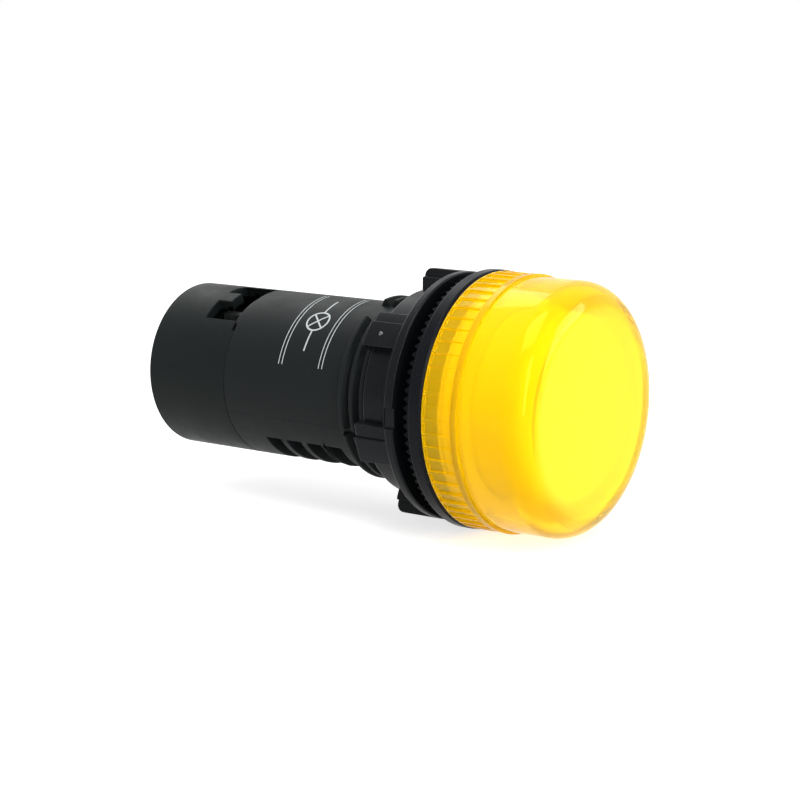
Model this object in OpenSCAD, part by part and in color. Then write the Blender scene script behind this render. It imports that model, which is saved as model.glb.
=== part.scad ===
// Panel pilot light for a 22 mm panel hole, with a screw-on coloured lens, a toothed
// panel gasket, a plastic fixing nut and two rising-cage screw terminals at the rear.
// The axis runs along Y: the lens faces -Y, the terminals face +Y, and the panel's
// front face lies in the plane y = 0. Sizes are in millimetres and degrees.

/* [Bezel and panel gasket] */
// Outer radius of the bezel ring
bezel_r = 14.9; // [14.5:0.1:15.5]
// Distance from the panel to the bezel's front face
bezel_front = 2.7; // [2.5:0.1:3.2]
// Length of the bezel's rim along the axis
bezel_rim = 1.8; // [1.6:0.1:2]
// Wall of the rim that wraps around the gasket
rim_wall = 0.4; // [0.3:0.05:0.6]
// Thickness of the gasket with its teeth
gasket_t = 1.5; // [1.3:0.1:1.7]
// Height of the gasket's teeth
tooth_h = 0.7; // [0.4:0.1:0.8]
// Number of teeth around the gasket
tooth_n = 90; // [60:2:100]
// Length of the teeth, measured inwards from the gasket's edge
tooth_l = 1.6; // [1:0.1:2]
// Depth of the groove in the neck that holds the gasket
gasket_grip = 0.35; // [0.25:0.05:0.4]

/* [Neck and thread] */
// Radius of the neck and of the thread's crests
neck_r = 10.85; // [10.7:0.05:11]
// Length of the plain neck behind the panel's front face
neck_l = 1.5; // [1.2:0.1:1.6]
// Wall of the neck around the lamp holder's spigot
neck_wall = 1.25; // [1:0.05:1.5]
// Distance between neighbouring thread ridges
thread_pitch = 1.5; // [1.4:0.05:1.7]
// Number of thread ridges
thread_turns = 7; // [5:1:7]
// Width of a ridge at its crest
thread_crest = 0.45; // [0.3:0.05:0.5]
// Gap in the thread below the wire entries and opposite them, in degrees
key_gap = 21; // [12:1:30]
// Gap in the thread at the mould's parting lines, in degrees
seam_gap = 4; // [2:1:8]

/* [Barrel] */
// Outer radius of the barrel and of the rear cover
barrel_r = 10; // [9.8:0.05:10.1]
// Wall of the barrel
barrel_wall = 1.4; // [1.2:0.05:1.5]
// Distance from the panel to the joint with the rear cover
barrel_l = 29.6; // [29:0.1:31]
// Number of vent slots in each row
slot_n = 4; // [3:1:4]
// Width of a vent slot
slot_w = 2.15; // [1.5:0.05:2.4]
// Distance between neighbouring vent slots
slot_pitch = 3.03; // [2.8:0.01:3.2]
// Distance from the panel to the middle of the first vent slot
slot_first = 14.8; // [14.6:0.1:15.4]
// Angle that the two rows of slots cover together
slot_span = 142; // [100:1:150]
// Angle of the web left between the two rows
slot_web = 12; // [8:1:30]
// Turn of the wire entries about the axis, from +X towards +Z, less 90 degrees
entry_turn = 21; // [0:1:45]

/* [Lens and seal] */
// Step from the bezel's edge down to the lens
lens_step = 0.4; // [0.35:0.05:0.6]
// Distance from the panel to the lens's front face
lens_front = 15.84; // [15:0.1:17]
// Radius of the lens's rounded front edge
lens_edge = 3.2; // [2.4:0.1:3.4]
// Wall of the lens
lens_wall = 1.8; // [1.5:0.1:2]
// Wall of the skirt that covers the seal
skirt_wall = 0.75; // [0.6:0.05:0.9]
// Length of the skirt that covers the seal
skirt_l = 1.75; // [1.5:0.05:2]
// Length of the ribbed grip band
band_l = 4.6; // [4.2:0.1:5.2]
// Number of grip ribs
rib_n = 60; // [40:2:72]
// Height of the grip ribs
rib_h = 0.3; // [0.15:0.05:0.35]
// Width of a grip rib
rib_w = 0.35; // [0.2:0.05:0.5]
// Length of the plain ring that ends the grip band
band_ring = 0.85; // [0.5:0.05:1]
// Gap between the lens and the bezel
lens_gap = 0.05; // [0.05:0.05:0.2]
// Cord diameter of the lens seal
seal_d = 1.1; // [0.9:0.05:1.2]

/* [Lamp holder and diffuser] */
// Wall of the lamp holder's ring
holder_wall = 1.8; // [1.5:0.1:2]
// Thickness of the lamp holder's floor
holder_floor = 0.9; // [0.8:0.1:1.1]
// Length of the lamp holder's ring ahead of the bezel
holder_l = 4.3; // [4:0.1:4.4]
// Length of the spigot that plugs into the neck
holder_spigot = 4.6; // [3.5:0.1:4.7]
// Wall of that spigot
spigot_wall = 1.15; // [1:0.05:1.3]
// Height of the lamp holder's thread ridges
holder_thread = 0.42; // [0.3:0.02:0.46]
// Distance between the lamp holder's thread ridges
holder_pitch = 1.4; // [1.2:0.05:1.5]
// Wall of the diffuser
diffuser_wall = 0.9; // [0.7:0.1:1.2]
// Space between the diffuser and the lens's inner face
diffuser_gap = 0.85; // [0.6:0.05:1.5]
// Radius of the diffuser's rounded front edge
diffuser_edge = 1.4; // [1.2:0.1:2]

/* [Lamps and circuit boards] */
// Thickness of both circuit boards
board_t = 1; // [0.8:0.1:1.2]
// Number of lamps in the ring
led_ring_n = 6; // [4:1:8]
// Radius of the ring of lamps
led_ring_r = 6; // [5:0.1:6.5]
// Radius of a lamp
led_r = 1.5; // [1:0.1:1.6]
// Length of a lamp ahead of its board
led_l = 5.3; // [4:0.1:6]
// Level of the driver board's upper side, measured from the axis
board_z = -3.6; // [-3.8:0.1:-3.2]
// Distance from the panel to the driver board's front edge
board_front = 3; // [2.6:0.1:3.4]
// Distance from the driver board's rear edge to the rear cover
board_gap = 1.6; // [1.4:0.1:2]
// Distance between neighbouring header pins
pin_pitch = 2.54; // [2:0.02:2.6]
// Width of a header pin
pin_w = 0.6; // [0.4:0.05:0.64]
// Number of header pins
pin_n = 4; // [2:1:4]

/* [Parts on the driver board] */
// Distance between neighbouring parts along the board
part_gap = 0.4; // [0.4:0.1:0.6]
// Radius of the parts' leads
lead_r = 0.3; // [0.2:0.05:0.35]
// Radius of the smoothing capacitor
cap_r = 3.15; // [2.5:0.05:3.2]
// Length of the smoothing capacitor
cap_l = 10; // [8:0.5:11]
// Radius of a resistor's body
resistor_r = 1.15; // [0.9:0.05:1.2]
// Length of a resistor's body
resistor_l = 6.3; // [5:0.1:6.5]
// Width of the bridge rectifier
bridge_w = 4.2; // [3.6:0.1:4.4]
// Length of the bridge rectifier
bridge_l = 4.8; // [4:0.1:5]
// Height of the bridge rectifier
bridge_h = 2.5; // [2:0.1:2.8]
// Radius of the surge suppressor
suppressor_r = 3.4; // [3:0.1:3.5]
// Thickness of the surge suppressor
suppressor_t = 3; // [2.4:0.1:3]

/* [Rear cover] */
// Length of the rear cover
cover_l = 12.1; // [12.1:0.1:13]
// Wall of the rear cover
cover_wall = 1.2; // [1.1:0.05:1.3]
// Thickness of the rear cover's end
cover_end = 1.1; // [0.9:0.1:1.2]
// Radius of the rounding around the cover's end
cover_round = 0.5; // [0.2:0.1:0.8]
// Length of the barrel's spigot inside the cover
joint_l = 1.1; // [0.8:0.1:1.2]
// Wall of the cover's lap over that spigot
joint_lap = 0.55; // [0.45:0.05:0.7]
// Wall of the barrel's spigot
joint_wall = 1.3; // [1.1:0.05:1.4]
// Width of the opening for both wires
window_w = 8; // [7:0.1:8.4]
// Depth of the opening, from the cover's rim to the tongue's tip
window_l = 3.2; // [2.8:0.1:3.4]
// Depth of the two wire notches, from the cover's rim
notch_l = 5.2; // [4.8:0.1:5.4]
// Width of the tongue between the wire notches
tongue_w = 2.1; // [1.5:0.1:2.4]
// Width of the narrow pry slot at the cover's rim, beside the opening
pry_w = 0.45; // [0.35:0.05:0.6]
// Angle that the pry slot covers
pry_span = 8; // [6:1:12]
// Radius of the screwdriver holes
driver_r = 1.8; // [1.5:0.1:1.9]

/* [Terminals] */
// Depth of the wire guide's walls below the cover's inner face
guide_depth = 1.1; // [0.8:0.1:2]
// Distance between the two terminals
term_pitch = 5.08; // [5:0.02:5.2]
// Level of the terminal screws, measured from the axis
term_z = 2; // [1.6:0.1:2.2]
// Width of a clamp cage
cage_w = 4.1; // [3.9:0.05:4.2]
// Depth of a clamp cage, along the wire
cage_d = 4.8; // [4.4:0.1:5]
// Thickness of a clamp cage's sides
cage_side = 0.6; // [0.5:0.05:0.65]
// Thickness of the cage's jaw, which lifts the wire
cage_jaw = 0.8; // [0.6:0.05:0.9]
// Thickness of the cage's tapped end
cage_end = 1; // [0.8:0.05:1.1]
// Room for a wire in an open cage
wire_room = 2.2; // [2.1:0.05:2.3]
// Travel of a clamp cage
cage_travel = 1.9; // [1.7:0.05:1.9]
// Thickness of a contact blade
blade_t = 0.8; // [0.6:0.05:0.9]
// Radius of a terminal screw's shank
screw_r = 1.25; // [1:0.05:1.3]
// Radius of a terminal screw's head
head_r = 1.85; // [1.7:0.05:1.85]
// Height of a terminal screw's head
head_h = 1.4; // [1:0.1:1.4]

/* [Fixing nut] */
// Distance from the panel's front face to the nut at rest
nut_at = 1.55; // [1.4:0.05:3]
// Turn of the nut about the axis at rest
nut_turn = 18.5; // [0:0.5:60]
// Radius of the nut's flange
flange_r = 14.4; // [14:0.1:15]
// Thickness of the nut's flange
flange_t = 1.25; // [1:0.05:1.5]
// Length of the cone behind the flange
cone_l = 1.6; // [1.2:0.1:1.8]
// Radius of the nut's sleeve
sleeve_r = 12; // [11.9:0.05:12.2]
// Length of the nut's sleeve with its flange
sleeve_l = 5.95; // [5.5:0.05:6.1]
// Radius over the nut's grip pads
pad_r = 13.4; // [13:0.1:13.6]
// Length of the grip pads with the flange
pad_l = 6.35; // [6.2:0.05:7]
// Angle that a grip pad covers
pad_span = 20.6; // [16:0.2:24]
// Radius over the two ears
ear_r = 14.4; // [14:0.1:14.8]
// Angle that an ear covers
ear_span = 16; // [10:1:20]

/* [Clearances] */
// Radial clearance of running fits, such as the nut on its thread
run_fit = 0.08; // [0.06:0.01:0.1]
// Clearance of fixed pieces that plug into each other
plug_fit = 0.05; // [0.03:0.01:0.08]
// Clearance of a clamp cage in its pocket and around its blade
slide_fit = 0.1; // [0.08:0.01:0.12]

/* [Hidden] */
$fn = 96;
CUT = 1;
FLANK = tan(30);

// Colours as seen
BLACK = [0.08, 0.085, 0.09];
RUBBER = [0.05, 0.05, 0.055];
AMBER = [1, 0.72, 0.05, 0.7];
MILK = [0.95, 0.94, 0.88];
STEEL = [0.72, 0.72, 0.7];
TIN = [0.8, 0.8, 0.78];

// Front end
rim_rear = bezel_front - bezel_rim;
seat_r = bezel_r - rim_wall;
gasket_r = seat_r - plug_fit;
groove_r = neck_r - gasket_grip;
neck_bore = neck_r - neck_wall;
lens_r = bezel_r - lens_step;
lens_rear = bezel_front + lens_gap;
lens_band_r = lens_r + rib_h;
skirt_r = lens_r - skirt_wall;
holder_r = skirt_r - plug_fit - seal_d;
holder_crest = holder_r + holder_thread;
holder_in = holder_r - holder_wall;
holder_spigot_r = neck_bore - plug_fit;
holder_bore = holder_spigot_r - spigot_wall;
floor_y = bezel_front + holder_floor;
lens_thread_r = holder_crest + run_fit;
lens_in = lens_r - lens_wall;
band_end = lens_rear + band_l;
diffuser_r = holder_in - plug_fit;
diffuser_front = lens_front - lens_wall - diffuser_gap;
lamp_board_y = floor_y + board_t;

// Barrel and thread
bore_r = barrel_r - barrel_wall;
thread_depth = neck_r - barrel_r;
thread_base = thread_crest + 2 * thread_depth * FLANK;
thread_first = neck_l + thread_base / 2 + 0.3;
joint_r = barrel_r - joint_lap - plug_fit;
joint_in = joint_r - joint_wall;

// Driver board and its rails
board_under = board_z - board_t;
board_half = sqrt(pow(bore_r, 2) - pow(board_under, 2)) - 0.25;
board_rear = barrel_l - board_gap;
rail_w = 0.9;
rail_t = 1.1;

// Rear cover and terminals
cover_in = barrel_r - cover_wall;
cover_rear = barrel_l + cover_l;
end_y = cover_rear - cover_end;
snap_y = barrel_l + 3.4;
snap_grip = 0.3;
snap_depth = cover_in + snap_grip;
head_y = end_y - head_h - 0.3;
cage_rear = head_y - 0.3 - cage_travel;
blade_rear = cage_rear - cage_end - 0.3;
blade_y = blade_rear - blade_t;
jaw_y = blade_y - wire_room;
cage_front = jaw_y - cage_jaw;
block_front = cage_front - 0.7;
pocket_front = cage_front - 0.3;
pocket_half = cage_w / 2 + slide_fit;
pocket_low = term_z - cage_d / 2 - slide_fit;
block_low = pocket_low - 1.4;
block_top = term_z + cage_d / 2 + 0.2;
blade_w = cage_w - 2 * cage_side - 2 * slide_fit;
blade_foot = 10;
foot_y = blade_rear - blade_foot;

// Parts on the driver board, from the header back and from the blades forward
strip_y = board_front + part_gap;
cap_x = board_half - cap_r - part_gap;
cap_y = strip_y + pin_pitch + 2 * pin_w + part_gap;
resistor_y = cap_y + part_gap;
lead_l = 1.3;
bridge_y = foot_y - part_gap - bridge_l;
suppressor_y = foot_y - part_gap - suppressor_t / 2;
pad_n = 6;

// Turns what is modelled along Z so that it runs along +Y
module along() {
    rotate([-90, 0, 0]) children();
}

// Turns what is modelled on the +X side to an angle about the axis
module at_angle(a) {
    rotate([0, -a, 0]) children();
}

// Everything that follows the wire entries
module turned() {
    at_angle(entry_turn) children();
}

// A cylinder between two stations on the axis
module rod(r, y0, y1) {
    translate([0, y0, 0]) along() cylinder(r = r, h = y1 - y0);
}

// A ring between two stations
module tube(r_out, r_in, y0, y1) {
    difference() {
        rod(r_out, y0, y1);
        rod(r_in, y0 - CUT, y1 + CUT);
    }
}

// A profile of [radius, station] points, revolved about the axis
module revolve(points) {
    along() rotate_extrude() polygon(points);
}

// The same profile over part of a turn, centred on an angle
module sector(points, a, span) {
    at_angle(a + span / 2) along() rotate_extrude(angle = span) polygon(points);
}

// A box that is centred on x and z
module block(w, y0, y1, z0, z1) {
    translate([-w / 2, y0, z0]) cube([w, y1 - y0, z1 - z0]);
}

// A closed cup that opens towards +Y, with a rounded front edge
module cup(r, y_front, y_rear, edge) {
    rod(r, y_front + edge, y_rear);
    rod(r - edge, y_front, y_rear);
    translate([0, y_front + edge, 0]) along()
        rotate_extrude() translate([r - edge, 0]) circle(r = edge, $fn = 64);
}

// One ridge of a thread, as a profile
function ridge(r_in, r_out, y, base, crest) = [
    [r_in - 0.3, y - base / 2], [r_in, y - base / 2], [r_out, y - crest / 2],
    [r_out, y + crest / 2], [r_in, y + base / 2], [r_in - 0.3, y + base / 2]];

// ---- Housing: bezel, neck, thread and barrel in one moulding ----

module thread() {
    span = 90 - key_gap / 2 - seam_gap / 2;
    side = seam_gap / 2 + span / 2;
    for (i = [0 : thread_turns - 1], q = [0, 1], m = [-1, 1])
        sector(ridge(barrel_r, neck_r, thread_first + i * thread_pitch,
            thread_base, thread_crest), 180 * q + m * side, span);
}

module vent_slots() {
    span = (slot_span - slot_web) / 2;
    for (i = [0 : slot_n - 1], m = [-1, 1])
        let (y = slot_first + i * slot_pitch - slot_w / 2)
            sector([[bore_r - 0.05, y], [barrel_r + CUT, y],
                [barrel_r + CUT, y + slot_w], [bore_r - 0.05, y + slot_w]],
                270 + m * (slot_web + span) / 2, span);
}

module board_rails() {
    lip = 0.6;
    intersection() {
        rod(bore_r + 0.2, board_front + 4, board_rear - 2);
        for (m = [-1, 1], z = [board_under - rail_t, board_z + plug_fit])
            translate([m * (board_half + rail_w), 0, 0])
                block(2 * (rail_w + lip), board_front, board_rear, z, z + rail_t);
    }
}

module snap_tongues() {
    face_r = cover_in - 0.1;
    for (a = [225, 315])
        sector([[joint_in, barrel_l - 1], [face_r, barrel_l - 1], [face_r, snap_y],
            [snap_depth, snap_y + 0.1], [snap_depth, snap_y + 0.3],
            [face_r - 0.2, snap_y + 1], [joint_in, snap_y + 1]], a, 20);
}

module housing() {
    color(BLACK) {
        difference() {
            union() {
                revolve([[neck_bore - 1, -bezel_front], [bezel_r - 0.35, -bezel_front],
                    [bezel_r, -bezel_front + 0.35], [bezel_r, -rim_rear - 0.15],
                    [bezel_r - 0.15, -rim_rear], [seat_r, -rim_rear],
                    [seat_r, -gasket_t], [neck_bore - 1, -gasket_t]]);
                rod(groove_r, -gasket_t - 0.1, neck_l);
                rod(neck_r, 0, neck_l);
                rod(barrel_r, neck_l - 0.1, barrel_l);
                turned() thread();
                rod(joint_r, barrel_l - 1, barrel_l + joint_l);
            }
            rod(neck_bore, -bezel_front - CUT, holder_spigot - bezel_front + 0.1);
            rod(bore_r, 0, barrel_l - 1.2);
            rod(joint_in, barrel_l - 2, barrel_l + joint_l + CUT);
            turned() vent_slots();
        }
        turned() {
            board_rails();
            snap_tongues();
        }
    }
}

// ---- Panel gasket with its ring of teeth ----

module gasket_tooth() {
    half = 180 / tooth_n;
    root = tooth_h + 0.2;
    translate([gasket_r - tooth_l, 0, 0])
        rotate([0, 90, 0]) linear_extrude(tooth_l - 0.05)
            polygon([[-gasket_r * sin(half), -root], [-gasket_r * sin(half), -tooth_h],
                [0, 0], [gasket_r * sin(half), -tooth_h], [gasket_r * sin(half), -root]]);
}

module panel_gasket() {
    color(RUBBER) {
        tube(gasket_r, groove_r + plug_fit, -gasket_t, -tooth_h);
        tube(neck_r + 1.2, groove_r + plug_fit, -gasket_t, 0);
        for (i = [0 : tooth_n - 1]) at_angle(i * 360 / tooth_n) gasket_tooth();
    }
}

// ---- Fixing nut: flange, sleeve, six grip pads and two ears ----

module nut_pad(a) {
    // The face is in two levels, with a shallow step along it
    step = 0.3;
    sector([[sleeve_r - 0.6, flange_t - 0.2], [pad_r - 0.05, flange_t - 0.2],
        [pad_r, pad_l - 0.15], [pad_r - 0.15, pad_l], [sleeve_r - 0.6, pad_l]],
        a + pad_span / 6, pad_span * 2 / 3);
    sector([[sleeve_r - 0.6, flange_t - 0.2], [pad_r - step, flange_t - 0.2],
        [pad_r - step, pad_l - 0.15], [pad_r - step - 0.15, pad_l],
        [sleeve_r - 0.6, pad_l]], a, pad_span);
}

module nut_ear(a) {
    round = 0.9;
    sector(concat([[sleeve_r, flange_t - 0.2], [ear_r, flange_t - 0.2]],
        [for (t = [0 : 15 : 90])
            [ear_r - round + round * cos(t), pad_l - round + round * sin(t)]],
        [[sleeve_r, pad_l]]), a, ear_span);
}

module fixing_nut() {
    translate([0, nut_at, 0]) at_angle(nut_turn) color([0.1, 0.105, 0.11]) difference() {
        union() {
            revolve([[neck_r - 1, 0], [flange_r - 0.15, 0], [flange_r, 0.15],
                [flange_r, flange_t - 0.2], [flange_r - 0.3, flange_t],
                [sleeve_r + 0.4, flange_t + cone_l], [sleeve_r, flange_t + cone_l + 0.3],
                [sleeve_r, sleeve_l - 0.25], [sleeve_r - 0.25, sleeve_l],
                [neck_r - 1, sleeve_l]]);
            for (i = [0 : pad_n - 1]) nut_pad(i * 360 / pad_n);
            for (a = [60, 240]) nut_ear(a);
        }
        rod(neck_r + run_fit, -CUT, pad_l + CUT);
        for (a = [163.5, 343.5])
            sector([[flange_r - 0.5, -CUT], [flange_r + CUT, -CUT],
                [flange_r + CUT, flange_t + 0.02], [flange_r - 0.5, flange_t + 0.02]],
                a, 9.5);
    }
}

// ---- Lens: a thick clear cap with a ribbed grip band ----

module lens() {
    color(AMBER) difference() {
        union() {
            cup(lens_r, -lens_front, -lens_rear, lens_edge);
            rod(lens_band_r, -band_end, -band_end + band_ring);
            rod(lens_band_r, -lens_rear - 0.2, -lens_rear);
            for (i = [0 : rib_n - 1]) at_angle(i * 360 / rib_n)
                translate([lens_r - 0.3, -band_end + 0.1, -rib_w / 2])
                    cube([rib_h + 0.28, band_l - 0.1, rib_w]);
        }
        cup(lens_in, -lens_front + lens_wall, -lens_rear + CUT, lens_edge - lens_wall + 0.4);
        rod(lens_thread_r, -band_end, -lens_rear + CUT);
        rod(skirt_r, -lens_rear - skirt_l, -lens_rear + CUT);
    }
}

module lens_seal() {
    color(RUBBER) translate([0, -bezel_front - seal_d / 2, 0]) along() rotate_extrude()
        translate([holder_r + seal_d / 2, 0]) circle(r = seal_d / 2, $fn = 48);
}

// ---- Lamp holder, diffuser, lamps and their board ----

module lamp_holder() {
    base = 0.3 + 2 * holder_thread * FLANK;
    color(MILK) difference() {
        union() {
            rod(holder_r, -bezel_front - holder_l, -bezel_front);
            rod(holder_spigot_r, -bezel_front - 0.1, -bezel_front + holder_spigot);
            for (i = [0, 1])
                revolve(ridge(holder_r, holder_crest,
                    -bezel_front - holder_l + 0.5 + base / 2 + i * holder_pitch, base, 0.3));
        }
        rod(holder_in, -bezel_front - holder_l - CUT, -floor_y);
        rod(holder_bore, -floor_y - CUT, -bezel_front + holder_spigot + CUT);
    }
}

module diffuser() {
    color(MILK) difference() {
        cup(diffuser_r, -diffuser_front, -lamp_board_y, diffuser_edge);
        cup(diffuser_r - diffuser_wall, -diffuser_front + diffuser_wall,
            -lamp_board_y + CUT, diffuser_edge - diffuser_wall + 0.3);
    }
}

module pin_places() {
    for (i = [0 : pin_n - 1])
        translate([(i - (pin_n - 1) / 2) * pin_pitch, 0, board_z + pin_pitch / 2]) children();
}

module lamp_board() {
    color([0.9, 0.9, 0.86]) difference() {
        rod(holder_in - plug_fit, -lamp_board_y, -floor_y);
        turned() pin_places()
            block(pin_w + 2 * plug_fit, -lamp_board_y - CUT, -floor_y + CUT,
                -pin_w / 2 - plug_fit, pin_w / 2 + plug_fit);
    }
}

module lamp() {
    rod(led_r + 0.4, -lamp_board_y - 0.8, -lamp_board_y);
    rod(led_r, -lamp_board_y - led_l + led_r, -lamp_board_y);
    translate([0, -lamp_board_y - led_l + led_r, 0]) sphere(r = led_r, $fn = 48);
}

module lamps() {
    color([1, 0.8, 0.3]) {
        lamp();
        for (i = [0 : led_ring_n - 1]) at_angle(entry_turn + i * 360 / led_ring_n)
            translate([led_ring_r, 0, 0]) lamp();
    }
}

// ---- Driver board and what is soldered to it ----

module header_pins() {
    bend_y = strip_y + pin_pitch + pin_w;
    color(TIN) turned() pin_places() {
        block(pin_w, -lamp_board_y - 0.4, bend_y, -pin_w / 2, pin_w / 2);
        block(pin_w, bend_y - pin_w, bend_y, -pin_pitch / 2, pin_w / 2);
    }
}

module header_strip() {
    color(BLACK) turned() difference() {
        block(pin_n * pin_pitch, strip_y, strip_y + pin_pitch, board_z, board_z + pin_pitch);
        pin_places() block(pin_w + 2 * plug_fit, strip_y - CUT, strip_y + pin_pitch + CUT,
            -pin_w / 2 - plug_fit, pin_w / 2 + plug_fit);
    }
}

module driver_board() {
    hole_r = 0.6;
    inset = 1.6;
    color([0.05, 0.22, 0.12]) turned() difference() {
        block(2 * board_half, board_front, board_rear, board_under, board_z);
        for (m = [-1, 1])
            translate([m * (board_half - inset), board_front + inset, board_under - CUT])
                cylinder(r = hole_r, h = board_t + 2 * CUT);
    }
}

// A lead that stands on the board, up to a level above it
module lead(x, y, h) {
    translate([x, y, board_z]) cylinder(r = lead_r, h = h, $fn = 24);
}

module smoothing_capacitor() {
    groove = 0.35;
    crimp_y = cap_y + cap_l - 2;
    lead_x = cap_r * 0.4;
    color([0.12, 0.14, 0.3]) turned() translate([cap_x, 0, 0]) {
        translate([0, 0, board_z + cap_r]) revolve([[0, cap_y], [cap_r - 0.5, cap_y],
            [cap_r, cap_y + 0.5], [cap_r, crimp_y - groove], [cap_r - groove, crimp_y],
            [cap_r - groove, crimp_y + groove], [cap_r, crimp_y + 2 * groove],
            [cap_r, cap_y + cap_l - 0.4], [cap_r - 0.4, cap_y + cap_l],
            [0, cap_y + cap_l]]);
        for (m = [-1, 1]) {
            translate([m * lead_x, 0, board_z + cap_r])
                rod(lead_r, cap_y + cap_l - 0.2, cap_y + cap_l + lead_l);
            lead(m * lead_x, cap_y + cap_l + lead_l - lead_r, cap_r);
        }
    }
}

// A film resistor with its two bent leads, standing on the board
module resistor() {
    rise = resistor_r + 0.25;
    bead = 0.15;
    body_y = resistor_y + lead_l;
    translate([0, 0, board_z + rise]) {
        rod(resistor_r, body_y, body_y + resistor_l);
        for (y = [body_y, body_y + resistor_l * 0.78])
            rod(resistor_r + bead, y, y + resistor_l * 0.22);
        rod(lead_r, resistor_y, body_y + resistor_l + lead_l);
    }
    for (y = [resistor_y + lead_r, body_y + resistor_l + lead_l - lead_r]) lead(0, y, rise);
}

module resistors() {
    first = cap_x - cap_r - resistor_r - 2 * part_gap;
    color([0.35, 0.6, 0.75]) turned()
        for (i = [0, 1]) translate([first - i * (2 * resistor_r + 1.5 * part_gap), 0, 0]) resistor();
}

module bridge_rectifier() {
    leg_w = 1;
    leg_t = 0.6;
    standoff = 0.25;
    color([0.13, 0.13, 0.14]) turned() translate([-board_half + bridge_w / 2 + 2, 0, board_z]) {
        block(bridge_w, bridge_y, bridge_y + bridge_l, standoff, bridge_h);
        for (m = [-1, 1], y = [0.25, 0.75])
            translate([m * (bridge_w + leg_w / 2) / 2, bridge_y + bridge_l * y, 0])
                block(leg_w, -leg_t / 2, leg_t / 2, 0, bridge_h * 0.45);
    }
}

module surge_suppressor() {
    rise = suppressor_r + 1;
    color([0.1, 0.3, 0.62]) turned()
        translate([board_half - suppressor_r - part_gap, suppressor_y, 0]) {
            translate([0, 0, board_z + rise]) {
                rod(suppressor_r - 0.5, -suppressor_t / 2, suppressor_t / 2);
                rod(suppressor_r, -suppressor_t / 3, suppressor_t / 3);
            }
            for (m = [-1, 1]) lead(m * suppressor_r * 0.6, m * suppressor_t / 5, 2);
        }
}

// ---- Terminals: blade, rising cage, captive screw and their block ----

module term_places() {
    for (m = [-1, 1]) translate([m * term_pitch / 2, 0, 0]) children();
}

module contact_blades() {
    color([0.85, 0.66, 0.3]) turned() term_places() {
        block(blade_w, blade_y, blade_rear, board_z, term_z + cage_d / 2 - 0.2);
        block(blade_w, foot_y, blade_rear, board_z, board_z + blade_t);
    }
}

// Walls that lead each wire from its notch down to its cage
module wire_guide() {
    top = cover_in - guide_depth;
    block(window_w + 1, block_front, pocket_front, block_top - 1, top);
    block(term_pitch - 2 * pocket_half, block_front, blade_rear, block_top - 1, top);
}

module terminal_block() {
    color([0.16, 0.17, 0.18]) turned() difference() {
        intersection() {
            rod(cover_in - plug_fit, block_front, end_y);
            union() {
                block(2 * cover_in, block_front, end_y, block_low, block_top);
                wire_guide();
            }
        }
        term_places() {
            block(2 * pocket_half, pocket_front, end_y + CUT, pocket_low, block_top + CUT);
            block(blade_w + 2 * plug_fit, blade_y - plug_fit, blade_rear + plug_fit,
                block_low - CUT, pocket_low + CUT);
        }
    }
}

module clamp_cage(m) {
    color(STEEL) turned() translate([m * term_pitch / 2, 0, term_z]) difference() {
        block(cage_w, cage_front, cage_rear, -cage_d / 2, cage_d / 2);
        block(cage_w - 2 * cage_side, jaw_y, cage_rear - cage_end,
            -cage_d / 2 - CUT, cage_d / 2 + CUT);
        rod(screw_r + run_fit, jaw_y, cage_rear + CUT);
        for (i = [-2 : 2]) translate([0, jaw_y, i * 0.8])
            rotate([45, 0, 0]) cube([cage_w - 2 * cage_side, 0.2, 0.2], center = true);
    }
}

module clamp_screw(m) {
    color(STEEL) turned() translate([m * term_pitch / 2, 0, term_z]) difference() {
        union() {
            rod(screw_r, blade_rear + 0.05, head_y + 0.1);
            revolve([[0, head_y], [head_r - 0.15, head_y], [head_r, head_y + 0.15],
                [head_r, head_y + head_h - 0.3], [head_r - 0.3, head_y + head_h],
                [0, head_y + head_h]]);
        }
        block(0.55, head_y + head_h * 0.45, head_y + head_h + CUT, -head_r - CUT, head_r + CUT);
    }
}

// ---- Rear cover ----

module cover_window() {
    deep = cover_in - 3;
    block(window_w, barrel_l - CUT, barrel_l + window_l, deep, barrel_r + CUT);
    for (m = [-1, 1]) translate([m * (window_w + tongue_w) / 4, 0, 0])
        block((window_w - tongue_w) / 2, barrel_l - CUT, barrel_l + notch_l,
            deep, barrel_r + CUT);
}

// A narrow slot in the rim, beside the opening, for the tip of a screwdriver
module pry_slot() {
    window_edge = 90 + asin(window_w / 2 / barrel_r);
    sector([[joint_r, barrel_l - CUT], [barrel_r + CUT, barrel_l - CUT],
        [barrel_r + CUT, barrel_l + pry_w], [joint_r, barrel_l + pry_w]],
        window_edge + pry_span / 2 - 0.5, pry_span + 1);
}

module rear_cover() {
    color(BLACK) turned() difference() {
        union() {
            rod(barrel_r, barrel_l, cover_rear - cover_round);
            rod(barrel_r - cover_round, barrel_l, cover_rear);
            translate([0, cover_rear - cover_round, 0]) along() rotate_extrude()
                translate([barrel_r - cover_round, 0]) circle(r = cover_round, $fn = 32);
        }
        rod(joint_r + plug_fit, barrel_l - CUT, barrel_l + joint_l + plug_fit);
        rod(cover_in, barrel_l - CUT, end_y);
        revolve([[cover_in - 0.2, snap_y - 0.1], [snap_depth + 0.1, snap_y - 0.1],
            [snap_depth + 0.1, snap_y + 0.5], [cover_in - 0.2, snap_y + 1.1]]);
        cover_window();
        pry_slot();
        term_places() translate([0, 0, term_z]) rod(driver_r, end_y - CUT, cover_rear + CUT);
    }
}

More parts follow.
